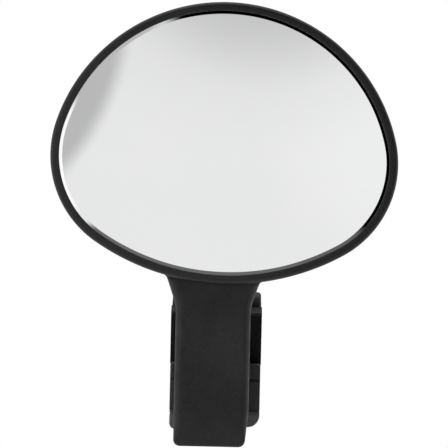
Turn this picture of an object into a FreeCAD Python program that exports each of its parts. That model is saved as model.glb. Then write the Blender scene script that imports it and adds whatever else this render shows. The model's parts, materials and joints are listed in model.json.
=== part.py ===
"""Strap-on bicycle mirror: a canted oval convex mirror whose housing runs down into a flat arm,
a ball joint behind the arm, and a saddle that a rubber strap holds on a handlebar.

Millimetres. The origin is on the handlebar's axis, below the middle of the arm. +X is to the
right of someone looking into the mirror, +Y is away from them, +Z is up.
"""

import FreeCAD
import Part
import math
import os

V = FreeCAD.Vector
X_AXIS, Y_AXIS, Z_AXIS = V(1, 0, 0), V(0, 1, 0), V(0, 0, 1)

# Fits
RUNNING = 0.05        # radial play of a turning fit
SEAT = 0.1            # gap around a piece dropped into a pocket

# Handlebar and clamp
BAR_R = 11.1          # the bar that the clamp closes on
CLAMP_X = 0.82        # middle of the clamp, a little to the right of the arm
CLAMP_W = 23.0
PAD_T = 1.6
STRAP_T = 3.0
EYE_R = 3.4           # rubber around the strap's pin
PIN_R = 1.25
PIN_Z = 13.2
LUG_W = 9.0           # the saddle's knuckle, between the strap's two eyes

# Ball joint, behind the arm
BALL_Y, BALL_Z = -21.8, 4.5
BALL_R = 5.0
LINER_R = 6.5
NECK_R = 2.2
SHANK_R = 2.0
SOCKET_HALF = 9.0     # half the side of the square socket block
LINER_MOUTH = 47.0    # half angle of the liner's opening, in degrees
CAP_MOUTH = 48.0

# Arm
ARM_FRONT, ARM_BACK = -39.0, -32.0
ARM_HALF = 9.4
ARM_FOOT_LEFT, ARM_FOOT_RIGHT = 9.35, 8.7
ARM_BOTTOM = -22.0
FOOT_CORNER = 2.2
ARM_EDGE = 2.0        # rounding of the arm's front edges
FLARE_Z = 11.5
FLARE_R = 10.0
FLARE_ANGLE = 19.0
ARM_TOP = 34.0
ARM_WALL = 1.6
COVER_T = 1.5
COVER_HALF = 8.0
COVER_LOW, COVER_HIGH = -20.0, 15.6

# Head: an oval of four tangent arcs around the line of its side centres
HEAD_X, HEAD_Z = 1.9, 50.15
HEAD_CANT = 2.1       # the head leans to the right, in degrees
SIDE_X, SIDE_R = 17.39, 26.27
TOP_R, FOOT_R = 44.33, 59.54
OVAL_MIDDLE = 4.15    # height of the oval's middle above its side centres
BEZEL_BACK = ARM_FRONT
BEZEL_FACE = 2.17     # width of the bezel's face
BEZEL_PROUD = 0.2     # the bezel follows the mirror's curve, this much in front of it
LENS_R = 300.0        # radius of the convex mirror
LENS_APEX = -44.5
LENS_T = 1.6
LENS_EDGE = 1.57      # how far the lens's outline is inside the bezel's
FOAM_T = 0.6
BACK_R, BACK_APEX = 140.0, -29.0
SHELL_WALL = 1.8
RIM_W = 4.4

# Strap hook
HOOK_FRONT = -21.8
HOOK_TOP, HOOK_BOTTOM = -1.6, -13.4
GROOVE_LOW, GROOVE_HIGH = -6.0, -5.3   # groove across the hook's face
HOOK_T = 3.0
LIP_FRONT, LIP_BACK, LIP_BOTTOM = -17.2, -15.7, -14.4
BEAD_R = 2.0
BEAD_FRONT = -22.2
BEAD_FOOT_LEFT, BEAD_FOOT_RIGHT = -18.6, -17.6    # the strap's end slants a little
BEAD_Y, BEAD_Z = -19.5, -15.7


# ---------------------------------------------------------------- helpers

def box(x0, x1, y0, y1, z0, z1):
    return Part.makeBox(x1 - x0, y1 - y0, z1 - z0, V(x0, y0, z0))


def cyl_x(y, z, r, x0, x1):
    return Part.makeCylinder(r, x1 - x0, V(x0, y, z), X_AXIS)


def cyl_y(x, z, r, y0, y1):
    return Part.makeCylinder(r, y1 - y0, V(x, y0, z), Y_AXIS)


def ball(x, y, z, r):
    return Part.makeSphere(r, V(x, y, z))


def cone_y(x, z, r0, r1, y0, y1):
    """A cone along Y, of radius r0 at y0 and r1 at y1."""
    return Part.makeCone(r0, r1, y1 - y0, V(x, y0, z), Y_AXIS)


def slab_x(points, x0, x1):
    """A polygon of (y, z) points, extruded along X."""
    corners = [V(x0, y, z) for y, z in points]
    return Part.Face(Part.makePolygon(corners + corners[:1])).extrude(V(x1 - x0, 0, 0))


def clamp_span(width):
    """The two ends, along X, of a piece of that width in the middle of the clamp."""
    return CLAMP_X - width / 2, CLAMP_X + width / 2


def round_edges(shape, radius, wanted):
    """Rounds the edges whose middle point passes the test."""
    edges = [e for e in shape.Edges if wanted(e.valueAt((e.FirstParameter + e.LastParameter) / 2), e)]
    return shape.makeFillet(radius, edges)


def runs_along(edge, axis):
    """True for a straight edge along that axis."""
    a, b = edge.Vertexes[0].Point, edge.Vertexes[-1].Point
    d = b - a
    return isinstance(edge.Curve, Part.Line) and d.Length > 0 and abs(d.dot(axis)) > 0.999 * d.Length


def cross_recess(x, z, y_face, size, depth):
    """The cross slot in a screw's head, cut from y_face towards -Y."""
    t = size / 4
    wide = box(x - size, x + size, y_face - depth, y_face + 1, z - t, z + t)
    return wide.fuse(box(x - t, x + t, y_face - depth, y_face + 1, z - size, z + size))


# ---------------------------------------------------------------- head

def oval(inset, y):
    """The head's outline, moved in by inset, as a face in the plane y of the head's own frame."""
    rise_top = -math.sqrt((TOP_R - SIDE_R) ** 2 - SIDE_X ** 2)
    rise_foot = math.sqrt((FOOT_R - SIDE_R) ** 2 - SIDE_X ** 2)
    top_r, side_r, foot_r = TOP_R - inset, SIDE_R - inset, FOOT_R - inset

    def meeting(rise, big_r, sign):
        """Where the arc about (0, rise) meets the side arc, to the right or left."""
        reach = math.hypot(SIDE_X, rise)
        return V(sign * SIDE_X / reach * big_r, y, rise - rise / reach * big_r)

    top_right, top_left = meeting(rise_top, top_r, 1), meeting(rise_top, top_r, -1)
    foot_right, foot_left = meeting(rise_foot, foot_r, 1), meeting(rise_foot, foot_r, -1)
    arcs = [
        Part.Arc(top_left, V(0, y, rise_top + top_r), top_right),
        Part.Arc(top_right, V(SIDE_X + side_r, y, 0), foot_right),
        Part.Arc(foot_right, V(0, y, rise_foot - foot_r), foot_left),
        Part.Arc(foot_left, V(-SIDE_X - side_r, y, 0), top_left),
    ]
    return Part.Face(Part.Wire([a.toShape() for a in arcs]))


def oval_block(inset, y0, y1):
    return oval(inset, y0).extrude(V(0, y1 - y0, 0))


def dome(depth):
    """A ball whose surface is that far behind the mirror's front, all over."""
    return ball(0, LENS_APEX + LENS_R, OVAL_MIDDLE, LENS_R - depth)


def into_place(shape):
    """Moves a shape from the head's own frame to the object's."""
    placed = shape.copy()
    placed.rotate(V(0, 0, 0), Y_AXIS, HEAD_CANT)
    placed.translate(V(HEAD_X, 0, HEAD_Z))
    return placed


def curved_plate(inset, depth0, depth1):
    """A plate that follows the mirror's curve, between two depths behind its front."""
    reach = oval_block(inset, LENS_APEX - 2, BEZEL_BACK + 3)
    return reach.common(dome(depth0)).cut(dome(depth1))


def make_lens():
    return into_place(curved_plate(LENS_EDGE, 0, LENS_T))


def make_lens_foam():
    pad = curved_plate(LENS_EDGE + 0.4, LENS_T, LENS_T + FOAM_T)
    return into_place(pad.cut(oval_block(RIM_W - 0.2, LENS_APEX - 1, BEZEL_BACK + 3)))


def make_bezel():
    ring = oval_block(0, LENS_APEX - 2, BEZEL_BACK).common(dome(-BEZEL_PROUD))
    ring = round_edges(ring, 0.9, lambda p, e: p.y < BEZEL_BACK - 1 and not runs_along(e, Y_AXIS))
    ring = ring.cut(oval_block(BEZEL_FACE, LENS_APEX - 2, BEZEL_BACK + 1))
    pocket = oval_block(LENS_EDGE - SEAT, LENS_APEX - 1, BEZEL_BACK + 1).common(dome(-0.05))
    return into_place(ring.cut(pocket))


def arm_outline(inset, y):
    """The arm's outline as a face in the plane y: a straight strip with a rounded foot and a flared top."""
    half = ARM_HALF - inset
    bottom, corner = ARM_BOTTOM + inset, max(FOOT_CORNER - inset, 0.3)
    a = math.radians(FLARE_ANGLE)
    flare_r = FLARE_R + inset
    bend_x, bend_z = half + flare_r * (1 - math.cos(a)), FLARE_Z + flare_r * math.sin(a)
    top_x = bend_x + (ARM_TOP - bend_z) * math.tan(a)
    slant = corner * (1 - math.sqrt(0.5))
    edges = []
    for s, foot_half in ((1, ARM_FOOT_RIGHT - inset), (-1, ARM_FOOT_LEFT - inset)):
        def p(x, z):
            return V(s * x, y, z)
        mid_x, mid_z = half + flare_r * (1 - math.cos(a / 2)), FLARE_Z + flare_r * math.sin(a / 2)
        edges += [
            Part.LineSegment(p(0, bottom), p(foot_half - corner, bottom)),
            Part.Arc(p(foot_half - corner, bottom), p(foot_half - slant, bottom + slant), p(foot_half, bottom + corner)),
            Part.LineSegment(p(foot_half, bottom + corner), p(half, HOOK_BOTTOM)),
            Part.LineSegment(p(half, HOOK_BOTTOM), p(half, FLARE_Z)),
            Part.Arc(p(half, FLARE_Z), p(mid_x, mid_z), p(bend_x, bend_z)),
            Part.LineSegment(p(bend_x, bend_z), p(top_x, ARM_TOP)),
        ]
    edges.append(Part.LineSegment(V(-top_x, y, ARM_TOP), V(top_x, y, ARM_TOP)))
    return Part.Face(Part.Wire(Part.__sortEdges__([e.toShape() for e in edges])))


def cover_screw_places():
    return [(sx * 5.5, z) for z in (COVER_LOW + 3.2, COVER_HIGH - 3.2) for sx in (-1, 1)]


def make_head_shell():
    bowl = oval_block(0, ARM_FRONT, BACK_APEX + 5).common(ball(0, BACK_APEX - BACK_R, OVAL_MIDDLE, BACK_R))
    bowl = round_edges(bowl, 2.4, lambda p, e: p.y > ARM_FRONT + 1 and not runs_along(e, Y_AXIS))
    tongue = oval_block(LENS_EDGE + SEAT, LENS_APEX - 1, ARM_FRONT + 0.5).common(dome(LENS_T + FOAM_T))
    hollow = oval_block(RIM_W, LENS_APEX - 1, BACK_APEX + 5).common(
        ball(0, BACK_APEX - SHELL_WALL - BACK_R, OVAL_MIDDLE, BACK_R))
    arm = arm_outline(0, ARM_FRONT).extrude(V(0, ARM_BACK - ARM_FRONT, 0))
    arm = round_edges(arm, ARM_EDGE, lambda p, e: p.y < ARM_FRONT + 0.01 and p.z < ARM_TOP - 0.1)
    arm = round_edges(arm, 0.5, lambda p, e: p.y > ARM_BACK - 0.01 and p.z < ARM_TOP - 0.1)
    shell = into_place(bowl.fuse(tongue)).fuse(arm).cut(into_place(hollow))

    floor = ARM_FRONT + ARM_WALL
    pocket = box(-COVER_HALF + 0.7, COVER_HALF - 0.7, floor, ARM_BACK + 1, COVER_LOW + 0.7, COVER_HIGH - 0.7)
    seat = box(-COVER_HALF, COVER_HALF, ARM_BACK - COVER_T, ARM_BACK + 1, COVER_LOW, COVER_HIGH)
    seat = round_edges(seat, 1.2, lambda p, e: runs_along(e, Y_AXIS))
    shell = shell.cut(pocket).cut(seat)
    for x, z in cover_screw_places():
        shell = shell.fuse(cyl_y(x, z, 2.1, floor - 0.2, ARM_BACK - COVER_T))
    for x, z in cover_screw_places():
        shell = shell.cut(cyl_y(x, z, 0.85, floor + 0.2, ARM_BACK))
    return shell.removeSplitter()


def make_arm_cover():
    half = COVER_HALF - SEAT
    plate = box(-half, half, ARM_BACK - COVER_T, ARM_BACK, COVER_LOW + SEAT, COVER_HIGH - SEAT)
    plate = round_edges(plate, 1.1, lambda p, e: runs_along(e, Y_AXIS))
    plate = plate.cut(cyl_y(0, BALL_Z, 3.2, ARM_BACK - 5, ARM_BACK + 1))
    for x, z in cover_screw_places():
        plate = plate.cut(cyl_y(x, z, 1.15, ARM_BACK - 5, ARM_BACK + 1))
        plate = plate.cut(cone_y(x, z, 1.0, 2.1, ARM_BACK - 1.05, ARM_BACK + 0.05))
    return plate


def make_cover_screws():
    screws = []
    for x, z in cover_screw_places():
        head = cone_y(x, z, 0.8, 1.9, ARM_BACK - 1.15, ARM_BACK - 0.05)
        screw = head.fuse(cyl_y(x, z, 0.8, ARM_BACK - 4.8, ARM_BACK - 1.1))
        screws.append(screw.cut(cross_recess(x, z, ARM_BACK - 0.05, 1.1, 0.6)))
    return Part.makeCompound(screws)


def make_stud_bush():
    sleeve = cyl_y(0, BALL_Z, 3.2, ARM_BACK - COVER_T, ARM_BACK)
    sleeve = sleeve.fuse(cyl_y(0, BALL_Z, 4.4, ARM_BACK - COVER_T - 0.6, ARM_BACK - COVER_T))
    return sleeve.cut(cyl_y(0, BALL_Z, SHANK_R + RUNNING, ARM_BACK - 5, ARM_BACK + 1))


# ---------------------------------------------------------------- ball joint

def make_ball_stud():
    stud = ball(0, BALL_Y, BALL_Z, BALL_R)
    stud = stud.fuse(cyl_y(0, BALL_Z, NECK_R, ARM_BACK + 0.6, BALL_Y - 3))
    stud = stud.fuse(cyl_y(0, BALL_Z, 3.6, ARM_BACK + 0.55, ARM_BACK + 1.25))
    stud = stud.fuse(cyl_y(0, BALL_Z, SHANK_R, ARM_FRONT + ARM_WALL + 0.1, ARM_BACK + 0.6))
    return stud.removeSplitter()


def washer(outer, inner, y0, y1):
    return cyl_y(0, BALL_Z, outer, y0, y1).cut(cyl_y(0, BALL_Z, inner, y0 - 1, y1 + 1))


def make_thrust_washer():
    return washer(4.6, SHANK_R + RUNNING, ARM_BACK + 0.05, ARM_BACK + 0.55)


def make_flat_washer():
    face = ARM_BACK - COVER_T - 0.6
    return washer(4.2, SHANK_R + RUNNING, face - 0.6, face - 0.05)


def make_spring_washer():
    """A split washer: a ring with one slanting cut."""
    face = ARM_BACK - COVER_T - 1.2
    ring = washer(3.6, SHANK_R + RUNNING, face - 0.55, face)
    cut = box(-0.25, 0.25, face - 2, face + 1, BALL_Z + 1, BALL_Z + 5)
    cut.rotate(V(0, face, BALL_Z + 3), Z_AXIS, 25)
    return ring.cut(cut)


def make_lock_nut():
    back = ARM_BACK - COVER_T - 1.75
    front = ARM_FRONT + ARM_WALL + 0.1
    corners = [V(4.04 * math.cos(math.radians(60 * k)), front, BALL_Z + 4.04 * math.sin(math.radians(60 * k)))
               for k in range(6)]
    nut = Part.Face(Part.makePolygon(corners + corners[:1])).extrude(V(0, back - front, 0))
    nut = nut.common(cone_y(0, BALL_Z, 3.6, 5.6, front, back + 0.4))
    return nut.cut(cyl_y(0, BALL_Z, SHANK_R, front - 1, back + 1))


def half_liner(front):
    shell = ball(0, BALL_Y, BALL_Z, LINER_R).cut(ball(0, BALL_Y, BALL_Z, BALL_R + RUNNING))
    far = LINER_R + 1
    if front:
        mouth = cone_y(0, BALL_Z, far * math.tan(math.radians(LINER_MOUTH)), 0, BALL_Y - far, BALL_Y)
        return shell.common(box(-far, far, BALL_Y - far, BALL_Y - 0.1, BALL_Z - far, BALL_Z + far)).cut(mouth)
    shell = shell.common(box(-far, far, BALL_Y + 0.1, BALL_Y + far, BALL_Z - far, BALL_Z + far))
    return shell.cut(cyl_y(0, BALL_Z, 1.5, BALL_Y, BALL_Y + far))


def socket_hollow():
    return ball(0, BALL_Y, BALL_Z, LINER_R + RUNNING)


def socket_screw_places():
    return [(sx * 6.6, BALL_Z + sz * 6.6) for sx in (-1, 1) for sz in (-1, 1)]


def make_socket_cap():
    s = SOCKET_HALF
    flange = box(-s, s, BALL_Y - 2.0, BALL_Y, BALL_Z - s, BALL_Z + s)
    flange = round_edges(flange, 2.4, lambda p, e: runs_along(e, Y_AXIS))
    flange = round_edges(flange, 0.5, lambda p, e: p.y < BALL_Y - 1.99)
    crown = cone_y(0, BALL_Z, 6.5, 7.3, BALL_Y - 4.7, BALL_Y - 1.9)
    crown = round_edges(crown, 0.5, lambda p, e: p.y < BALL_Y - 4.69)
    cap = flange.fuse(crown).cut(socket_hollow())
    far = 8.0
    cap = cap.cut(cone_y(0, BALL_Z, far * math.tan(math.radians(CAP_MOUTH)), 0, BALL_Y - far, BALL_Y))
    for x, z in socket_screw_places():
        cap = cap.cut(cyl_y(x, z, 1.15, BALL_Y - 6, BALL_Y + 1)).cut(cyl_y(x, z, 1.85, BALL_Y - 6, BALL_Y - 1.0))
    return cap


def make_socket_screws():
    screws = []
    for x, z in socket_screw_places():
        head = cyl_y(x, z, 1.7, BALL_Y - 2.3, BALL_Y - 1.0)
        head = round_edges(head, 0.35, lambda p, e: p.y < BALL_Y - 2.29)
        screw = head.fuse(cyl_y(x, z, 1.0, BALL_Y - 1.0, BALL_Y + 5.0))
        slot = cross_recess(x, z, 0, 1.0, 1.0)
        slot.translate(V(0, BALL_Y - 1.6, 0))
        slot = slot.common(box(x - 2, x + 2, BALL_Y - 3, BALL_Y - 1.7, z - 2, z + 2))
        screws.append(screw.cut(slot))
    return Part.makeCompound(screws)


def make_preload_pad():
    disc = cyl_y(0, BALL_Z, 2.9, BALL_Y + 5.0, BALL_Y + 7.6)
    return disc.cut(socket_hollow())


# ---------------------------------------------------------------- clamp

def pin_y():
    """The strap's pin stands its eye's radius, and a little, clear of the bar."""
    return -math.sqrt((BAR_R + EYE_R + SEAT) ** 2 - PIN_Z ** 2)


def make_saddle():
    x0, x1 = clamp_span(CLAMP_W)
    shoulder_front = HOOK_FRONT + HOOK_T + 0.05
    shoulder = box(x0, x1, shoulder_front, -8.0, -11.7, HOOK_TOP)
    shoulder = round_edges(shoulder, 0.6, lambda p, e: runs_along(e, X_AXIS) and p.z > -6 and p.y < -10)
    wing = slab_x([(-14.2, -2.0), (-16.2, 10.6), (-15.7, 11.3), (-10.0, 12.8), (-8.0, 12.8), (-8.0, -2.0)],
                  x0 - 0.15, x1 + 0.15)
    s = SOCKET_HALF
    block = box(-s, s, BALL_Y, -6.5, BALL_Z - s, BALL_Z + s)
    block = round_edges(block, 2.4, lambda p, e: runs_along(e, Y_AXIS))
    l0, l1 = clamp_span(LUG_W)
    y = pin_y()
    lug = slab_x([(-16.0, BALL_Z + s - 2), (-13.0, BALL_Z + s), (y, PIN_Z + EYE_R), (y, PIN_Z - EYE_R),
                  (-11.0, PIN_Z - EYE_R), (-16.0, PIN_Z - 5)], l0, l1)
    lug = lug.fuse(cyl_x(y, PIN_Z, EYE_R, l0, l1)).cut(cyl_x(0, 0, BAR_R + 0.2, l0 - 1, l1 + 1))
    saddle = shoulder.fuse(wing).fuse(block).cut(cyl_x(0, 0, BAR_R + PAD_T, x0 - 1, x1 + 1)).fuse(lug)
    saddle = saddle.cut(cyl_x(y, PIN_Z, PIN_R + 0.01, l0 - 1, l1 + 1))
    for end0, end1 in ((x0 - 1, l0), (l1, x1 + 1)):
        saddle = saddle.cut(cyl_x(y, PIN_Z, EYE_R + 0.3, end0, end1))
    saddle = saddle.cut(socket_hollow()).cut(cyl_y(0, BALL_Z, 2.95, BALL_Y + 5.0, BALL_Y + 7.65))
    for x, z in socket_screw_places():
        saddle = saddle.cut(cyl_y(x, z, 1.0, BALL_Y - 1, BALL_Y + 5.0))
    for x in hook_screw_places():
        saddle = saddle.cut(cyl_y(x, -9.0, 1.25, shoulder_front - 1, shoulder_front + 5.0))
    return saddle.removeSplitter()


def make_saddle_pad():
    """A rubber pad on the saddle's hollow, with shallow grooves along the bar."""
    x0, x1 = clamp_span(CLAMP_W)
    tube = cyl_x(0, 0, BAR_R + PAD_T - 0.03, x0, x1).cut(cyl_x(0, 0, BAR_R, x0 - 1, x1 + 1))
    wedge = slab_x([(0, 0), (-20, 19.0), (-20, -19.0)], x0 - 1, x1 + 1)
    pad = tube.common(wedge)
    for a in (-32, -16, 0, 16, 32):
        r = BAR_R + 0.1
        pad = pad.cut(cyl_x(-r * math.cos(math.radians(a)), r * math.sin(math.radians(a)), 0.55, x0 - 1, x1 + 1))
    return pad


def hook_screw_places():
    return [CLAMP_X - 5.2, CLAMP_X + 5.2]


def make_strap_hook():
    x0, x1 = clamp_span(CLAMP_W)
    back = HOOK_FRONT + HOOK_T
    plate = box(x0, x1, HOOK_FRONT, back, HOOK_BOTTOM, HOOK_TOP)
    plate = round_edges(plate, 0.8, lambda p, e: runs_along(e, Y_AXIS) and p.z > HOOK_TOP - 0.1)
    plate = round_edges(plate, 0.3, lambda p, e: p.y < HOOK_FRONT + 0.01 and p.z > HOOK_BOTTOM + 0.1)
    notch = SOCKET_HALF + SEAT
    plate = plate.cut(box(-notch, notch, HOOK_FRONT - 1, back + 1, BALL_Z - notch, HOOK_TOP + 1))
    plate = plate.cut(box(x0 - 1, x1 + 1, HOOK_FRONT - 1, HOOK_FRONT + 0.9, GROOVE_LOW, GROOVE_HIGH))
    plate = plate.fuse(box(x0, x1, back - 1, LIP_BACK, HOOK_BOTTOM, -11.8))
    lip = slab_x([(LIP_FRONT, HOOK_BOTTOM + 0.3), (LIP_FRONT, LIP_BOTTOM + 0.3), (LIP_FRONT + 0.3, LIP_BOTTOM),
                  (LIP_BACK - 0.3, LIP_BOTTOM), (LIP_BACK, LIP_BOTTOM + 0.3), (LIP_BACK, HOOK_BOTTOM + 0.3)], x0, x1)
    plate = plate.fuse(lip)
    for x in hook_screw_places():
        plate = plate.cut(cyl_y(x, -9.0, 1.4, HOOK_FRONT - 1, back + 1))
        plate = plate.cut(cone_y(x, -9.0, 2.6, 1.3, HOOK_FRONT - 0.05, HOOK_FRONT + 1.35))
    return plate.removeSplitter()


def make_hook_screws():
    screws = []
    for x in hook_screw_places():
        face = HOOK_FRONT + 0.1
        head = cone_y(x, -9.0, 2.4, 1.2, face, face + 1.3)
        screw = head.fuse(cyl_y(x, -9.0, 1.2, face + 1.2, HOOK_FRONT + HOOK_T + 5.0))
        slot = cross_recess(x, -9.0, 0, 1.4, 1.0)
        slot.translate(V(0, face + 0.8, 0))
        slot = slot.common(box(x - 3, x + 3, face - 1, face + 0.8, -12, -6))
        screws.append(screw.cut(slot))
    return Part.makeCompound(screws)


def make_strap_pin():
    x0, x1 = clamp_span(CLAMP_W - 1.6)
    return cyl_x(pin_y(), PIN_Z, PIN_R, x0, x1)


def make_bead(x0, x1):
    """The strap's end: flat in front, round behind, with a slightly slanting foot and rounded corners."""
    top, foot, back = BEAD_Z + BEAD_R, BEAD_FOOT_LEFT - 0.1, BEAD_Y + BEAD_R
    lean, low_r = BEAD_R * math.sqrt(0.5), 1.5
    low_lean = low_r * math.sqrt(0.5)

    def p(y, z):
        return V(x0, y, z)
    edges = [
        Part.LineSegment(p(back - low_r, foot), p(BEAD_FRONT, foot)),
        Part.LineSegment(p(BEAD_FRONT, foot), p(BEAD_FRONT, top)),
        Part.LineSegment(p(BEAD_FRONT, top), p(BEAD_Y, top)),
        Part.Arc(p(BEAD_Y, top), p(BEAD_Y + lean, BEAD_Z + lean), p(back, BEAD_Z)),
        Part.LineSegment(p(back, BEAD_Z), p(back, foot + low_r)),
        Part.Arc(p(back, foot + low_r), p(back - low_r + low_lean, foot + low_r - low_lean), p(back - low_r, foot)),
    ]
    bead = Part.Face(Part.Wire([e.toShape() for e in edges])).extrude(V(x1 - x0, 0, 0))
    y0, y1 = BEAD_FRONT - 1, back + 1
    corners = [V(x0, y0, BEAD_FOOT_LEFT), V(x1, y0, BEAD_FOOT_RIGHT), V(x1, y0, top + 1), V(x0, y0, top + 1)]
    outline = Part.Face(Part.makePolygon(corners + corners[:1])).extrude(V(0, y1 - y0, 0))
    outline = round_edges(outline, 1.0, lambda q, e: runs_along(e, Y_AXIS) and q.z < BEAD_Z and q.x < x0 + 0.01)
    outline = round_edges(outline, 2.4, lambda q, e: runs_along(e, Y_AXIS) and q.z < BEAD_Z and q.x > x1 - 0.01)
    return bead.common(outline)


def make_strap():
    """A moulded rubber strap: two eyes at the pin, a band around the bar and a run to the end bead."""
    x0, x1 = clamp_span(CLAMP_W)
    inner, outer = BAR_R, BAR_R + STRAP_T
    middle = (inner + outer) / 2
    y = pin_y()
    run_end = (-18.0, -16.35)
    reach = math.hypot(*run_end)
    leave = math.atan2(run_end[1], run_end[0]) + math.acos(middle / reach)
    start = math.atan2(PIN_Z, y)
    half_way = (start + leave) / 2

    def at(r, a):
        return V(x0, r * math.cos(a), r * math.sin(a))
    along = (V(x0, *run_end) - at(middle, leave)).normalize()
    up = V(0, along.z, -along.y)
    end_top, end_foot = V(x0, *run_end) + up * 1.05, V(x0, *run_end) - up * 1.05
    edges = [
        Part.Arc(at(outer, start), at(outer, half_way), at(outer, leave)),
        Part.LineSegment(at(outer, leave), end_foot),
        Part.LineSegment(end_foot, end_top),
        Part.LineSegment(end_top, at(inner, leave)),
        Part.Arc(at(inner, leave), at(inner, half_way), at(inner, start)),
        Part.LineSegment(at(inner, start), at(outer, start)),
    ]
    band = Part.Face(Part.Wire([e.toShape() for e in edges])).extrude(V(x1 - x0, 0, 0))
    eye = cyl_x(y, PIN_Z, EYE_R, x0 + 0.1, x1 - 0.1)
    eye = round_edges(eye, 0.9, lambda p, e: not runs_along(e, X_AXIS))
    strap = band.fuse(make_bead(x0, x1)).fuse(eye)
    l0, l1 = clamp_span(LUG_W + 0.5)
    strap = strap.cut(cyl_x(y, PIN_Z, EYE_R + 0.3, l0, l1))
    return strap.cut(cyl_x(y, PIN_Z, PIN_R + RUNNING, x0 - 1, x1 + 1)).removeSplitter()


PARTS = {
    "head_shell": make_head_shell,
    "bezel": make_bezel,
    "mirror_lens": make_lens,
    "lens_foam": make_lens_foam,
    "arm_cover": make_arm_cover,
    "cover_screws": make_cover_screws,
    "stud_bush": make_stud_bush,
    "ball_stud": make_ball_stud,
    "thrust_washer": make_thrust_washer,
    "flat_washer": make_flat_washer,
    "spring_washer": make_spring_washer,
    "lock_nut": make_lock_nut,
    "liner_front": lambda: half_liner(True),
    "liner_rear": lambda: half_liner(False),
    "socket_cap": make_socket_cap,
    "socket_screws": make_socket_screws,
    "preload_pad": make_preload_pad,
    "saddle": make_saddle,
    "saddle_pad": make_saddle_pad,
    "strap_hook": make_strap_hook,
    "hook_screws": make_hook_screws,
    "strap_pin": make_strap_pin,
    "strap": make_strap,
}


def main():
    os.makedirs("parts", exist_ok=True)
    for old in os.listdir("parts"):
        if old.endswith(".step"):
            os.remove(os.path.join("parts", old))
    for name, make in PARTS.items():
        shape = make()
        solids = shape.Solids
        good = all(s.isValid() and s.isClosed() for s in solids)
        print(f"{name}: {len(solids)} solid(s), {shape.Volume:.1f} mm3, {'valid' if good else 'NOT VALID'}")
        shape.exportStep(os.path.join("parts", name + ".step"))


main()
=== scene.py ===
"""Looks for the strap-on handlebar mirror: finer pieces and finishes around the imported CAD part.

Metres, in the CAD part's frame: the origin is on the handlebar's axis, +X to the right of
someone looking into the mirror, +Y away from them, +Z up.
"""

import json
import math

import bmesh
import bpy
import numpy as np
from mathutils import Matrix, Vector


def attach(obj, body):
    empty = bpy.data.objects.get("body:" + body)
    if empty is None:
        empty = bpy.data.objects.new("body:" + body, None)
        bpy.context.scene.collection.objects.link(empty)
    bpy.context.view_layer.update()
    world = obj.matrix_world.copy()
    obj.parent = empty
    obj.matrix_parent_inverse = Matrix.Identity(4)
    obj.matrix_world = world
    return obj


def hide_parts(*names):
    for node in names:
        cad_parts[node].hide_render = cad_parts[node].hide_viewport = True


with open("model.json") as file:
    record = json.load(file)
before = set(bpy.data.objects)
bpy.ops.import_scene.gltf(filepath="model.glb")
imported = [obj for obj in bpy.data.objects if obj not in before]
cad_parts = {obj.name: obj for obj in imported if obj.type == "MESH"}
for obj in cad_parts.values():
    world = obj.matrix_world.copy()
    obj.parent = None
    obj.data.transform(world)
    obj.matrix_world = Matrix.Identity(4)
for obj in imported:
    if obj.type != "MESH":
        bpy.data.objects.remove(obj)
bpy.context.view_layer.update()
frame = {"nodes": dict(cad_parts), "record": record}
nodes = frame["nodes"]
MM = 0.001
HAIR = 0.006    # millimetres that keep the curved pieces within the CAD part's facets

# The head's oval, in millimetres: four tangent arcs around the line of its side centres
HEAD_X, HEAD_Z, HEAD_CANT = 1.9, 50.15, math.radians(2.1)
SIDE_X, SIDE_R, TOP_R, FOOT_R = 17.39, 26.27, 44.33, 59.54
OVAL_MIDDLE = 4.15
LENS_R, LENS_APEX, LENS_EDGE, LENS_T = 300.0, -44.5, 1.57, 1.6
BEZEL_PROUD, BEZEL_FACE, BEZEL_BACK = 0.2, 2.17, -39.0
BACK_R, BACK_APEX, BACK_ROUND = 140.0, -29.0, 2.4
FOAM_T, RIM_W, SHELL_WALL = 0.6, 4.4, 1.8

# The arm, in millimetres
ARM_FRONT, ARM_BACK, ARM_TOP = -39.0, -32.0, 34.0
ARM_HALF, ARM_FOOT_LEFT, ARM_FOOT_RIGHT, ARM_BOTTOM, FOOT_CORNER = 9.4, 9.35, 8.7, -22.0, 1.6
ARM_EDGE, FOOT_EDGE, FOOT_EDGE_Z, TAPER_Z = 2.0, 0.5, -17.0, -13.4
FLARE_Z, FLARE_R, FLARE_ANGLE = 11.5, 10.0, math.radians(19.0)
ARM_WALL, COVER_T, COVER_HALF, COVER_LOW, COVER_HIGH = 1.6, 1.5, 8.0, -20.0, 15.6
POST_R, POST_WALL = 2.1, 1.25
COVER_SCREWS = [(x, z) for x in (-5.5, 5.5) for z in (COVER_LOW + 3.2, COVER_HIGH - 3.2)]

# The strap, in millimetres
BAR_R, STRAP_T, CLAMP_X, CLAMP_W = 11.1, 3.0, 0.82, 23.0
EYE_R, PIN_R, LUG_W, SLOT_TRIM = 3.4, 1.25, 9.0, 2.2
GROOVE_PITCH, GROOVE_DEPTH, GROOVE_HALF, GROOVES_WITHIN = 3.2, 0.32, 0.42, 10.9
BEAD_R, BEAD_Y, BEAD_Z, BEAD_FRONT = 2.0, -19.5, -15.7, -22.2
BEAD_FOOT_LEFT, BEAD_FOOT_RIGHT = -18.6, -17.6
BEAD_CORNER_LEFT, BEAD_CORNER_RIGHT = 1.4, 3.0
RUN_END = (-18.0, -16.35)
RISE_TOP = -math.sqrt((TOP_R - SIDE_R) ** 2 - SIDE_X ** 2)
RISE_FOOT = math.sqrt((FOOT_R - SIDE_R) ** 2 - SIDE_X ** 2)
TOP_SPAN, FOOT_SPAN = math.atan2(SIDE_X, -RISE_TOP), math.atan2(SIDE_X, RISE_FOOT)


# ---------------------------------------------------------------- outlines

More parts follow.
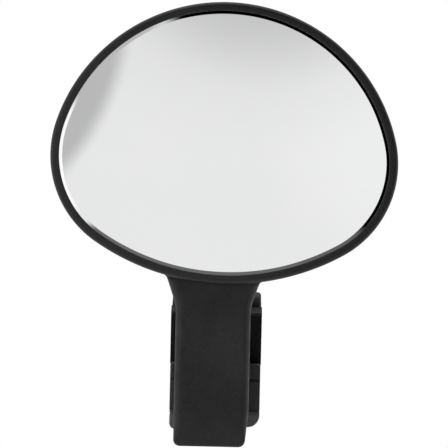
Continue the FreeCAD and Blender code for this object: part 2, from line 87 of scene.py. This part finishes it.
def oval_points(count):
    """Points on the head's outline with their outward normals, (x, z, nx, nz), in the head's own frame."""
    side_span = math.pi - TOP_SPAN - FOOT_SPAN
    arcs = [
        (0.0, RISE_TOP, TOP_R, -TOP_SPAN, TOP_SPAN),
        (SIDE_X, 0.0, SIDE_R, TOP_SPAN, TOP_SPAN + side_span),
        (0.0, RISE_FOOT, FOOT_R, math.pi - FOOT_SPAN, math.pi + FOOT_SPAN),
        (-SIDE_X, 0.0, SIDE_R, math.pi + FOOT_SPAN, math.pi + FOOT_SPAN + side_span),
    ]
    total = sum(r * (b - a) for _, _, r, a, b in arcs)
    points = []
    for k in range(count):
        along = total * k / count
        for cx, cz, r, a, b in arcs:
            if along <= r * (b - a):
                t = a + along / r
                points.append((cx + r * math.sin(t), cz + r * math.cos(t), math.sin(t), math.cos(t)))
                break
            along -= r * (b - a)
    return points


def head_point(x, y, z):
    """A point of the head's own frame, in millimetres, as a place in the scene."""
    c, s = math.cos(HEAD_CANT), math.sin(HEAD_CANT)
    return Vector(((x * c + z * s + HEAD_X) * MM, y * MM, (z * c - x * s + HEAD_Z) * MM))


def lens_y(x, z):
    """The convex mirror's front surface, in the head's own frame."""
    rr = x * x + (z - OVAL_MIDDLE) ** 2
    return LENS_APEX + LENS_R - math.sqrt(LENS_R ** 2 - rr)


# ---------------------------------------------------------------- mesh building

def new_piece(name, bm, material, body):
    """Turns a bmesh into a piece on a body, with its finish."""
    bmesh.ops.recalc_face_normals(bm, faces=bm.faces)
    mesh = bpy.data.meshes.new(name)
    bm.to_mesh(mesh)
    bm.free()
    piece = bpy.data.objects.new(name, mesh)
    bpy.context.scene.collection.objects.link(piece)
    for polygon in mesh.polygons:
        polygon.use_smooth = True
    mesh.materials.append(material)
    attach(piece, body)
    return piece


def ring_surface(bm, rows, closed_rows):
    """Quads between rows of points that each go right round."""
    verts = [[bm.verts.new(p) for p in row] for row in rows]
    count = len(rows[0])
    pairs = list(zip(verts, verts[1:]))
    if closed_rows:
        pairs.append((verts[-1], verts[0]))
    for low, high in pairs:
        for k in range(count):
            n = (k + 1) % count
            bm.faces.new((low[k], low[n], high[n], high[k]))
    return verts


def arc_profile(cx, cy, r, a0, a1, steps):
    """Points of an arc in a profile plane, from angle a0 to a1, in degrees."""
    out = []
    for k in range(steps + 1):
        a = math.radians(a0 + (a1 - a0) * k / steps)
        out.append((cx + r * math.cos(a), cy + r * math.sin(a)))
    return out


# ---------------------------------------------------------------- finishes

def nodes_of(name):
    """A new material, its node tree and its shader."""
    material = bpy.data.materials.new(name)
    material.use_nodes = True
    tree = material.node_tree
    return material, tree, tree.nodes["Principled BSDF"]


def texture(tree, kind, scale, detail=2.0, **values):
    """A procedural texture on the object's own coordinates, with scale in features per metre."""
    coord = tree.nodes.get("coords")
    if coord is None:
        coord = tree.nodes.new("ShaderNodeTexCoord")
        coord.name = "coords"
    node = tree.nodes.new(kind)
    node.inputs["Scale"].default_value = scale
    if "Detail" in node.inputs:
        node.inputs["Detail"].default_value = detail
    for key, value in values.items():
        node.inputs[key].default_value = value
    tree.links.new(coord.outputs["Object"], node.inputs["Vector"])
    return node


def spread(tree, source, low, high, from_low=0.3, from_high=0.7):
    """Maps a texture's value to a range."""
    node = tree.nodes.new("ShaderNodeMapRange")
    node.inputs["From Min"].default_value = from_low
    node.inputs["From Max"].default_value = from_high
    node.inputs["To Min"].default_value = low
    node.inputs["To Max"].default_value = high
    tree.links.new(source, node.inputs["Value"])
    return node.outputs["Result"]


def mix_colour(tree, factor, first, second):
    """A mix of two colours, each of them given as a tuple or as a socket."""
    node = tree.nodes.new("ShaderNodeMix")
    node.data_type = "RGBA"
    for key, value in (("A", first), ("B", second)):
        if isinstance(value, tuple):
            node.inputs[key].default_value = (*value, 1.0)
        else:
            tree.links.new(value, node.inputs[key])
    tree.links.new(factor, node.inputs["Factor"])
    return node.outputs["Result"]


def bump_chain(tree, shader, layers, edge=0.00012):
    """Softens sharp edges, then stacks bump layers of (height socket, distance in metres, strength)."""
    soft = tree.nodes.new("ShaderNodeBevel")
    soft.samples = 6
    soft.inputs["Radius"].default_value = edge
    previous = soft.outputs["Normal"]
    for height, distance, strength in layers:
        node = tree.nodes.new("ShaderNodeBump")
        node.inputs["Distance"].default_value = distance
        node.inputs["Strength"].default_value = strength
        tree.links.new(height, node.inputs["Height"])
        tree.links.new(previous, node.inputs["Normal"])
        previous = node.outputs["Normal"]
    tree.links.new(previous, shader.inputs["Normal"])


def moulded(name, dark, light, rough, grain=1400.0, depth=0.00006, sheen_level=0.35, dust_and_painted_light=None):
    """Black moulded plastic or rubber: fine spark-eroded grain, cloudy gloss and faint colour drift.

    The last argument, when given, paints the piece's foot a paler colour, a painted highlight for the light
    that falls on it: the height where it starts, where it is full, and the colour.
    """
    material, tree, shader = nodes_of(name)
    cloud = texture(tree, "ShaderNodeTexNoise", 55.0, 4.0)
    speck = texture(tree, "ShaderNodeTexNoise", 2600.0, 3.0)
    pits = texture(tree, "ShaderNodeTexVoronoi", grain)
    scuff = texture(tree, "ShaderNodeTexNoise", 260.0, 6.0, Distortion=1.2)
    drift = spread(tree, cloud.outputs["Fac"], 0.0, 1.0, 0.35, 0.65)
    base = mix_colour(tree, drift, dark, light)
    fleck = spread(tree, speck.outputs["Fac"], 0.0, 0.35, 0.55, 0.8)
    base = mix_colour(tree, fleck, base, tuple(min(1.0, c * 2.4) for c in light))
    # painted highlight: the foot turns paler below a height, standing in for the light it catches
    if dust_and_painted_light:
        height = tree.nodes.new("ShaderNodeSeparateXYZ")
        tree.links.new(tree.nodes["coords"].outputs["Object"], height.inputs["Vector"])
        painted_light_share = spread(tree, height.outputs["Z"], 0.0, 1.0, dust_and_painted_light[0], dust_and_painted_light[1])
        base = mix_colour(tree, painted_light_share, base, dust_and_painted_light[2])
    tree.links.new(base, shader.inputs["Base Color"])
    gloss = spread(tree, scuff.outputs["Fac"], rough - 0.07, rough + 0.09)
    tree.links.new(gloss, shader.inputs["Roughness"])
    shader.inputs["Specular IOR Level"].default_value = sheen_level
    bump_chain(tree, shader, [
        (pits.outputs["Distance"], depth, 0.5),
        (speck.outputs["Fac"], depth * 0.6, 0.6),
    ])
    return material


def steel(name, colour, rough):
    """Zinc-plated or turned steel: fine tool marks, uneven gloss and a little tarnish."""
    material, tree, shader = nodes_of(name)
    shader.inputs["Metallic"].default_value = 1.0
    cloud = texture(tree, "ShaderNodeTexNoise", 420.0, 5.0)
    marks = texture(tree, "ShaderNodeTexNoise", 1800.0, 4.0, Distortion=2.0)
    tarnish = spread(tree, cloud.outputs["Fac"], 0.0, 1.0, 0.45, 0.75)
    base = mix_colour(tree, tarnish, colour, tuple(c * 0.6 for c in colour))
    tree.links.new(base, shader.inputs["Base Color"])
    gloss = spread(tree, marks.outputs["Fac"], rough - 0.08, rough + 0.14)
    tree.links.new(gloss, shader.inputs["Roughness"])
    bump_chain(tree, shader, [(marks.outputs["Fac"], 0.00002, 0.5)])
    return material


def silvered_glass():
    """The convex mirror: bright reflection, a faint bloom of dust and wiping marks."""
    material, tree, shader = nodes_of("mirror_glass")
    shader.inputs["Metallic"].default_value = 1.0
    dust_and_painted_light = texture(tree, "ShaderNodeTexNoise", 38.0, 6.0)
    wipes = texture(tree, "ShaderNodeTexNoise", 120.0, 4.0, Distortion=3.0)
    haze = spread(tree, dust_and_painted_light.outputs["Fac"], 0.0, 1.0)
    base = mix_colour(tree, haze, (0.955, 0.957, 0.958), (0.935, 0.938, 0.94))
    tree.links.new(base, shader.inputs["Base Color"])
    gloss = spread(tree, wipes.outputs["Fac"], 0.012, 0.035)
    tree.links.new(gloss, shader.inputs["Roughness"])
    return material


# painted highlight on the strap's bead: the heights where its paler colour starts and becomes full
STRAP_PAINTED_LIGHT_FROM, STRAP_PAINTED_LIGHT_FULL = -0.0125, -0.0150    # metres: where the strap's end turns paler

BEZEL = moulded("bezel_plastic", (0.006, 0.006, 0.0065), (0.010, 0.010, 0.0105), 0.4)
PLASTIC = moulded("housing_plastic", (0.0062, 0.0063, 0.0066), (0.0175, 0.0175, 0.018), 0.56,
                  sheen_level=0.34)
COVER = moulded("cover_plastic", (0.009, 0.009, 0.0095), (0.014, 0.014, 0.0145), 0.46)
# painted shade: the saddle's plastic is made darker than the other black plastics, standing in for the shade
# it sits in behind the arm
CLAMP_PAINTED_SHADE = moulded("clamp_plastic", (0.0045, 0.0045, 0.0047), (0.008, 0.008, 0.0082), 0.74, sheen_level=0.22)
HOOK = moulded("hook_plastic", (0.02, 0.02, 0.0205), (0.03, 0.03, 0.0305), 0.47)
# the strap's end is painted paler below a height, a painted highlight for the light its bead catches
STRAP = moulded("strap_rubber", (0.008, 0.008, 0.0082), (0.014, 0.014, 0.0143), 0.62, 900.0, 0.00008, 0.36,
                dust_and_painted_light=(STRAP_PAINTED_LIGHT_FROM, STRAP_PAINTED_LIGHT_FULL, (0.076, 0.076, 0.077)))
PAD = moulded("pad_rubber", (0.009, 0.009, 0.009), (0.014, 0.014, 0.014), 0.68, 700.0, 0.0001, 0.3)
FOAM = moulded("foam", (0.012, 0.012, 0.012), (0.02, 0.02, 0.02), 0.85, 1100.0, 0.0003, 0.2)
LINER = moulded("liner_plastic", (0.60, 0.585, 0.53), (0.68, 0.665, 0.61), 0.4, 1200.0, 0.00003, 0.5)
NYLON = moulded("washer_plastic", (0.62, 0.62, 0.58), (0.7, 0.7, 0.66), 0.4, 1200.0, 0.00003, 0.5)
SCREW = steel("screw_steel", (0.55, 0.55, 0.57), 0.34)
STUD = steel("stud_steel", (0.62, 0.62, 0.63), 0.26)
BRASS = steel("bush_brass", (0.72, 0.53, 0.27), 0.3)
GLASS = silvered_glass()

SLOT_FINISH = {
    "housing_plastic": PLASTIC, "mirror_glass": GLASS, "foam": FOAM, "cover_plastic": COVER,
    "screw_steel": SCREW, "bush_brass": BRASS, "stud_steel": STUD, "washer_plastic": NYLON,
    "liner_plastic": LINER, "clamp_plastic": CLAMP_PAINTED_SHADE, "pad_rubber": PAD, "hook_plastic": HOOK,
    "strap_rubber": STRAP,
}
for entry in frame["record"]["subparts"]:
    cad = nodes[entry["node"]]
    finish = SLOT_FINISH[entry["material_slot"]]
    for held in cad.material_slots:
        held.material = finish


# ---------------------------------------------------------------- mirror and bezel

ROUND = 320                          # points round the head
BEVEL_SEEN = 0.85                    # width of the mirror's bevel inside the bezel, in millimetres
BEVEL_ANGLE = math.radians(4.5)


def outline_row(outline, inset, y_of):
    """One ring of points at an inset from the head's outline, with its depth given by a function."""
    row = []
    for x, z, nx, nz in outline:
        px, pz = x - nx * (inset + HAIR), z - nz * (inset + HAIR)
        row.append(head_point(px, y_of(px, pz), pz))
    return row


def make_mirror():
    """The convex mirror: a domed front with a narrow polished bevel, an edge and a back."""
    outline = oval_points(ROUND)
    bevel_from, slope, soft, steps = BEZEL_FACE + BEVEL_SEEN, math.tan(BEVEL_ANGLE), 0.08, 36
    rows = []
    for inset in (LENS_EDGE, BEZEL_FACE, bevel_from - soft, bevel_from):
        drop = (bevel_from - inset) * slope
        rows.append(outline_row(outline, inset, lambda x, z: lens_y(x, z) + drop))
    rows.append(outline_row(outline, bevel_from + soft, lens_y))
    for k in range(1, steps):
        share = 1 - k / steps
        row = []
        for x, z, nx, nz in outline:
            px, pz = (x - nx * bevel_from) * share, (z - nz * bevel_from) * share + OVAL_MIDDLE * (1 - share)
            row.append(head_point(px, lens_y(px, pz), pz))
        rows.append(row)
    behind = outline_row(outline, LENS_EDGE, lambda x, z: lens_y(x, z) + LENS_T)
    bm = bmesh.new()
    rings = ring_surface(bm, [behind] + rows, False)
    for ring, y in ((rings[-1], LENS_APEX), (rings[0], LENS_APEX + LENS_T)):
        centre = bm.verts.new(head_point(0, y, OVAL_MIDDLE))
        for k in range(ROUND):
            bm.faces.new((ring[k], ring[(k + 1) % ROUND], centre))
    piece = new_piece("mirror_plate", bm, GLASS, "head")
    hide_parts("mirror_lens")


def make_bezel():
    """The ring round the mirror: rounded outside, a face that follows the mirror, a soft inner lip."""
    outline = oval_points(ROUND)
    fillet, lip, inner, chamfer = 0.9, 0.16, LENS_EDGE - 0.1, 0.14

    def face_y(x, z):
        return lens_y(x, z) - BEZEL_PROUD

    rows = [outline_row(outline, 0.0, lambda x, z: BEZEL_BACK - chamfer)]
    for inset, lift in arc_profile(fillet, fillet, fillet, 180, 270, 9):
        rows.append(outline_row(outline, inset, lambda x, z: face_y(x, z) + lift))
    rows.append(outline_row(outline, (fillet + BEZEL_FACE) / 2, face_y))
    for inset, lift in arc_profile(BEZEL_FACE - lip, lip, lip, 270, 360, 5):
        rows.append(outline_row(outline, inset, lambda x, z: face_y(x, z) + lift))
    rows.append(outline_row(outline, BEZEL_FACE, lambda x, z: lens_y(x, z) + 0.1))
    rows.append(outline_row(outline, inner, lambda x, z: lens_y(x, z) + 0.2))
    rows.append(outline_row(outline, inner, lambda x, z: BEZEL_BACK))
    rows.append(outline_row(outline, chamfer, lambda x, z: BEZEL_BACK))
    bm = bmesh.new()
    ring_surface(bm, rows, True)
    piece = new_piece("bezel_ring", bm, BEZEL, "head")
    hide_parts("bezel")


# ---------------------------------------------------------------- moulded shapes from distance functions

CREASE = math.radians(35.0)    # edges sharper than this stay crisp
PROBE = 0.02                   # millimetres each way for a distance's slope


def round_cut(a, b, r):
    """The overlap of two shapes, given their distances, with its edge rounded."""
    return np.minimum(-r, np.maximum(a, b)) + np.hypot(np.maximum(r + a, 0), np.maximum(r + b, 0))


def round_join(a, b, r):
    """Two shapes joined, given their distances, with a fillet between them."""
    return np.maximum(r, np.minimum(a, b)) - np.hypot(np.maximum(r - a, 0), np.maximum(r - b, 0))


def surface_mesh(distance, low, high, step):
    """Corners and quads of the surface where a distance function is 0, on a grid of that step."""
    axes = [np.arange(a, b + step, step) for a, b in zip(low, high)]
    grid = np.meshgrid(*axes, indexing="ij")
    value = distance(*grid)
    inside = value < 0
    cells = tuple(n - 1 for n in value.shape)
    total = np.zeros(cells + (3,))
    count = np.zeros(cells)
    crossings = []
    for axis in range(3):
        first = [slice(None)] * 3
        second = [slice(None)] * 3
        first[axis], second[axis] = slice(0, -1), slice(1, None)
        f0, f1 = value[tuple(first)], value[tuple(second)]
        cross = inside[tuple(first)] != inside[tuple(second)]
        where = np.argwhere(cross)
        t = f0[cross] / (f0[cross] - f1[cross])
        place = np.stack([axes[k][where[:, k]] for k in range(3)], axis=1)
        place[:, axis] += t * step
        others = [k for k in range(3) if k != axis]
        for da in (0, 1):
            for db in (0, 1):
                cell = where.copy()
                cell[:, others[0]] -= da
                cell[:, others[1]] -= db
                keep = np.all((cell >= 0) & (cell < np.array(cells)), axis=1)
                index = tuple(cell[keep].T)
                np.add.at(total, index, place[keep])
                np.add.at(count, index, 1)
        crossings.append((axis, others, where, inside[tuple(first)][cross]))
    used = count > 0
    number = np.full(cells, -1)
    number[used] = np.arange(used.sum())
    corners = total[used] / count[used][:, None]
    quads = []
    for axis, (u, v), where, starts_inside in crossings:
        keep = np.all(where[:, (u, v)] >= 1, axis=1)
        keep &= (where[:, u] < cells[u]) & (where[:, v] < cells[v])
        at, out = where[keep], starts_inside[keep]
        ring = []
        for du, dv in ((1, 1), (0, 1), (0, 0), (1, 0)):
            cell = at.copy()
            cell[:, u] -= du
            cell[:, v] -= dv
            ring.append(number[tuple(cell.T)])
        ring = np.stack(ring, axis=1)
        flip = ~out if axis != 1 else out
        ring[flip] = ring[flip][:, ::-1]
        quads.append(ring)
    for _ in range(3):
        f = distance(*corners.T)
        slope = np.stack([(distance(*(corners + d).T) - distance(*(corners - d).T)) / (2 * PROBE)
                          for d in np.eye(3) * PROBE], axis=1)
        move = slope * (f / np.maximum((slope ** 2).sum(axis=1), 0.25))[:, None]
        corners = corners - np.clip(move, -step / 2, step / 2)
    return corners, np.concatenate(quads)


def moulded_piece(name, distance, low, high, step, material, body, slot):
    """A piece whose surface is where a distance function, in millimetres, is 0."""
    corners, quads = surface_mesh(distance, low, high, step)
    mesh = bpy.data.meshes.new(name)
    mesh.from_pydata((corners * MM).tolist(), [], quads.tolist())
    mesh.update()
    bm = bmesh.new()
    bm.from_mesh(mesh)
    for edge in bm.edges:
        if len(edge.link_faces) == 2 and edge.calc_face_angle() > CREASE:
            edge.smooth = False
    for face in bm.faces:
        face.smooth = True
    bm.to_mesh(mesh)
    bm.free()
    piece = bpy.data.objects.new(name, mesh)
    bpy.context.scene.collection.objects.link(piece)
    mesh.materials.append(material)
    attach(piece, body)
    return piece


def oval_distance(x, z):
    """Distance from the head's outline, in the head's own frame: negative inside."""
    across = np.abs(x)
    top = np.where(across <= (z - RISE_TOP) * math.tan(TOP_SPAN),
                   np.hypot(x, z - RISE_TOP) - TOP_R, -1e6)
    foot = np.where(across <= (RISE_FOOT - z) * math.tan(FOOT_SPAN),
                    np.hypot(x, z - RISE_FOOT) - FOOT_R, -1e6)
    ends = np.maximum(top, foot)
    return np.where(ends > -1e5, ends, np.hypot(across - SIDE_X, z) - SIDE_R)


def arm_distance(x, z):
    """Distance from the arm's outline: a straight strip with a rounded foot and a flared top."""
    rise = np.clip(z - FLARE_Z, 0, FLARE_R * math.sin(FLARE_ANGLE))
    curve = FLARE_R - np.sqrt(FLARE_R ** 2 - rise ** 2)
    beyond = np.maximum(z - FLARE_Z - FLARE_R * math.sin(FLARE_ANGLE), 0) * math.tan(FLARE_ANGLE)
    foot = np.where(x < 0, ARM_FOOT_LEFT, ARM_FOOT_RIGHT)
    taper = np.clip((TAPER_Z - z) / (TAPER_Z - ARM_BOTTOM - FOOT_CORNER), 0, None) * (ARM_HALF - foot)
    half = ARM_HALF + curve + beyond - taper
    side = (np.abs(x) - half) * np.sqrt(1 - (rise / FLARE_R) ** 2)
    return np.maximum(round_cut(side, ARM_BOTTOM - z, FOOT_CORNER), z - ARM_TOP)


def housing_distance(x, y, z):
    """The back shell and the arm as one moulding, with the seat for the arm's cover."""
    c, s = math.cos(HEAD_CANT), math.sin(HEAD_CANT)
    hx, hz = (x - HEAD_X) * c - (z - HEAD_Z) * s, (x - HEAD_X) * s + (z - HEAD_Z) * c
    rim = oval_distance(hx, hz) + HAIR
    dome = np.sqrt(hx ** 2 + (y - BACK_APEX + BACK_R) ** 2 + (hz - OVAL_MIDDLE) ** 2) - BACK_R
    shell = round_cut(rim, dome, BACK_ROUND)
    arm = round_cut(arm_distance(x, z), y - ARM_BACK, 0.6)
    whole = round_join(shell, arm, 0.6)
    near_foot = np.clip((FOOT_EDGE_Z - z) / 3.5, 0, 1)
    edge = np.clip(rim * 1.2, 0.15, ARM_EDGE + (FOOT_EDGE - ARM_EDGE) * near_foot)
    whole = round_cut(whole, ARM_FRONT - y, edge)
    depth = np.sqrt(hx ** 2 + (y - LENS_APEX - LENS_R) ** 2 + (hz - OVAL_MIDDLE) ** 2) - LENS_R
    tongue = round_cut(rim + LENS_EDGE + 0.1, depth + LENS_T + FOAM_T, 0.4)
    tongue = np.maximum(tongue, y - ARM_FRONT - 0.5)
    hollow = np.maximum(rim + RIM_W, dome + SHELL_WALL)
    whole = round_cut(np.minimum(whole, tongue), -hollow, 0.8)
    side_x = np.abs(x) - COVER_HALF
    side_z = np.abs(z - (COVER_LOW + COVER_HIGH) / 2) - (COVER_HIGH - COVER_LOW) / 2
    seat = np.maximum(round_cut(side_x, side_z, 1.2), ARM_BACK - COVER_T - y)
    pocket = np.maximum(np.maximum(side_x, side_z) + 0.7, ARM_FRONT + ARM_WALL - y)
    post = np.full(x.shape, 1e6)
    for px, pz in COVER_SCREWS:
        post = np.minimum(post, np.hypot(x - px, z - pz) - POST_R)
    pocket = np.maximum(pocket, -np.maximum(post, y - ARM_BACK + COVER_T))
    whole = round_cut(whole, -np.minimum(seat, pocket), 0.2)
    return np.maximum(whole, -np.maximum(post + POST_WALL, ARM_FRONT + ARM_WALL + 0.2 - y))


def strap_distance(x, y, z):
    """The rubber strap: eyes on the pin, a grooved band round the bar, a run forward and a bead."""
    pin_y, pin_z = PIN
    middle = BAR_R + STRAP_T / 2
    reach = math.hypot(*RUN_END)
    leave = math.atan2(RUN_END[1], RUN_END[0]) + math.acos(middle / reach)
    start = math.atan2(pin_z, pin_y)
    across = np.abs(x - CLAMP_X)
    r = np.hypot(y, z)
    past_start = -y * math.sin(start) + z * math.cos(start)
    past_leave = y * math.sin(leave) - z * math.cos(leave)
    bend = np.maximum(np.abs(r - middle) - STRAP_T / 2 + HAIR, np.minimum(past_start, past_leave))
    from_y, from_z = middle * math.cos(leave), middle * math.sin(leave)
    run_y, run_z = RUN_END[0] - from_y, RUN_END[1] - from_z
    share = np.clip(((y - from_y) * run_y + (z - from_z) * run_z) / (run_y ** 2 + run_z ** 2), 0, 1)
    run = np.hypot(y - from_y - share * run_y, z - from_z - share * run_z) - (STRAP_T / 2 - 0.45 * share)
    wave = np.abs((across + GROOVE_PITCH / 2) % GROOVE_PITCH - GROOVE_PITCH / 2)
    groove = GROOVE_DEPTH * np.exp(-(wave / GROOVE_HALF) ** 2) * (across < GROOVES_WITHIN)
    groove = groove * np.clip((r - middle) / 0.6, 0, 1)
    ends = across - CLAMP_W / 2
    band = round_cut(np.minimum(bend, run) + groove, ends, 0.6)
    back = y - BEAD_Y - BEAD_R
    foot_rise = BEAD_FOOT_RIGHT - BEAD_FOOT_LEFT
    low = (BEAD_FOOT_LEFT + BEAD_FOOT_RIGHT) / 2 + (x - CLAMP_X) * foot_rise / CLAMP_W - z
    bead = np.maximum(round_cut(z - BEAD_Z - BEAD_R - 0.2, back, 2.0), round_cut(low, back, 1.5))
    bead = round_cut(bead, BEAD_FRONT - y, 0.3)
    corner = np.where(x > CLAMP_X, BEAD_CORNER_RIGHT, BEAD_CORNER_LEFT)
    bead_ends = np.maximum(x - CLAMP_X - CLAMP_W / 2, CLAMP_X - CLAMP_W / 2 + 0.15 - x)
    bead = round_cut(bead, round_cut(bead_ends, low, corner), 0.3)
    eye_r = np.hypot(y - pin_y, z - pin_z)
    eye = round_cut(eye_r - EYE_R, ends + 0.1, 0.9)
    whole = round_join(round_join(band, bead, 0.8), eye, 0.9)
    whole = np.maximum(whole, round_cut(ends, low, corner))
    slot = np.minimum(eye_r - EYE_R - 0.3, np.maximum(-SLOT_TRIM - past_start, -z))
    whole = round_cut(whole, -np.maximum(slot, across - LUG_W / 2 - 0.25), 0.3)
    return np.maximum(whole, PIN_R + 0.05 - eye_r)


JOINTS = {joint["name"]: joint for joint in frame["record"]["behaviour"]["joints"]}
PIN = [c / MM for c in JOINTS["strap_swing"]["pos_m"]][1:]    # the strap's pin: its y and z, in millimetres


# The box of each grid and its step, in millimetres
HOUSING_GRID = (-43.5, -43.4, -22.6), (47.5, -28.2, 91.0), 0.45
STRAP_GRID = (-11.6, -22.4, -18.6), (13.2, 15.0, 16.4), 0.33


def make_housing():
    """The back shell and the arm, in place of the CAD's."""
    piece = moulded_piece("housing", housing_distance, *HOUSING_GRID, PLASTIC, "head", "housing_plastic")
    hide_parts("head_shell")


def make_strap():
    """The rubber strap, in place of the CAD's."""
    piece = moulded_piece("rubber_strap", strap_distance, *STRAP_GRID, STRAP, "strap", "strap_rubber")
    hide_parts("strap")


make_mirror()
make_bezel()
make_housing()
make_strap()


# ---------------------------------------------------------------- floor, light and camera

def direction_blob(tree, direction, inner, outer):
    """1 within inner degrees of a direction of the sky, falling to 0 at outer degrees."""
    coord = tree.nodes["sky"]
    dot = tree.nodes.new("ShaderNodeVectorMath")
    dot.operation = "DOT_PRODUCT"
    dot.inputs[1].default_value = Vector(direction).normalized()
    tree.links.new(coord.outputs["Generated"], dot.inputs[0])
    fade = tree.nodes.new("ShaderNodeMapRange")
    fade.interpolation_type = "SMOOTHSTEP"
    fade.inputs["From Min"].default_value = math.cos(math.radians(outer))
    fade.inputs["From Max"].default_value = math.cos(math.radians(inner))
    tree.links.new(dot.outputs["Value"], fade.inputs["Value"])
    return fade.outputs["Result"]


def look_direction(azimuth, elevation):
    """The direction, from the object, of a place to the right of and above the camera, in degrees."""
    a, e = math.radians(azimuth), math.radians(elevation)
    return (math.sin(a) * math.cos(e), -math.cos(a) * math.cos(e), math.sin(e))


def make_sky():
    """A white tent: even white as a backdrop, and soft bright and dark patches that light the object."""
    world = bpy.data.worlds.new("tent")
    bpy.context.scene.world = world
    world.use_nodes = True
    tree = world.node_tree
    background = tree.nodes["Background"]
    coord = tree.nodes.new("ShaderNodeTexCoord")
    coord.name = "sky"
    patches = [
        (look_direction(0, 0), 60, 100, 0.85),
        (look_direction(0, 80), 20, 38, 2.4),
        (look_direction(0, -75), 22, 40, 0.40),
        (look_direction(-68, 5), 12, 32, 1.7),
        (look_direction(68, 5), 12, 32, 1.0),
        (look_direction(40, 10.4), 1, 39, 0.94),
        (look_direction(3.75, 31.75), 0.5, 33.5, 0.73),
        (look_direction(3.75, 25.75), 0.5, 19.5, 0.54),
        (look_direction(-34.5, 13.0), 21.4, 23.8, 0.51),
        (look_direction(-44, -2), 20.5, 23.5, 1.02),
        (look_direction(45, 8), 21, 23.5, 0.0),
        (look_direction(33, 30), 21, 24, 0.0),
        (look_direction(20, 36), 19.5, 22.5, 0.0),
        (look_direction(5, 38), 18.5, 21, 0.0),
        (look_direction(38, -16), 19, 21.5, 0.0),
        (look_direction(20, -32), 17.0, 19.5, 0.12),
        (look_direction(0, -36), 18, 20.5, 0.14),
        (look_direction(-18, -30), 14.5, 17.0, 0.14),
    ]
    white = tree.nodes.new("ShaderNodeRGB")
    white.outputs[0].default_value = (1.0, 1.0, 1.0, 1.0)
    colour = white.outputs[0]
    for direction, inner, outer, level in patches:
        factor = direction_blob(tree, direction, inner, outer)
        colour = mix_colour(tree, factor, colour, (level, level, level))
    rays = tree.nodes.new("ShaderNodeLightPath")    # the camera itself sees plain white
    seen = mix_colour(tree, rays.outputs["Is Camera Ray"], colour, (1.0, 1.0, 1.0))
    tree.links.new(seen, background.inputs["Color"])


def make_floor():
    """A plain pale floor, well below the object."""
    material, tree, shader = nodes_of("pale_floor")
    grain = texture(tree, "ShaderNodeTexNoise", 40.0, 4.0)
    cloud = spread(tree, grain.outputs["Fac"], 0.0, 1.0)
    base = mix_colour(tree, cloud, (0.86, 0.86, 0.86), (0.82, 0.82, 0.82))
    tree.links.new(base, shader.inputs["Base Color"])
    shader.inputs["Roughness"].default_value = 0.8
    mesh = bpy.data.meshes.new("floor")
    floor = bpy.data.objects.new("floor", mesh)
    bm = bmesh.new()
    bmesh.ops.create_grid(bm, x_segments=8, y_segments=8, size=1.2)
    bmesh.ops.translate(bm, vec=(0, 0.45, -0.32), verts=bm.verts)
    bm.to_mesh(mesh)
    bm.free()
    mesh.materials.append(material)
    bpy.context.scene.collection.objects.link(floor)


def make_camera():
    """A long lens square to the front of the object, with a small roll."""
    distance, width, roll = 1.1, 0.112, math.radians(1.3)
    aim = Vector((0.0022, -0.0435, 0.0340))
    data = bpy.data.cameras.new("camera")
    camera = bpy.data.objects.new("camera", data)
    bpy.context.scene.collection.objects.link(camera)
    data.sensor_width = 36.0
    data.lens = 36.0 * distance / width
    data.clip_start = 0.01
    camera.matrix_world = (
        Matrix.Translation(aim - Vector((0, distance, 0)))
        @ Matrix.Rotation(math.radians(90), 4, "X")
        @ Matrix.Rotation(roll, 4, "Z")
    )
    bpy.context.scene.camera = camera


make_sky()
make_floor()
make_camera()
bpy.context.scene.view_settings.view_transform = "Standard"
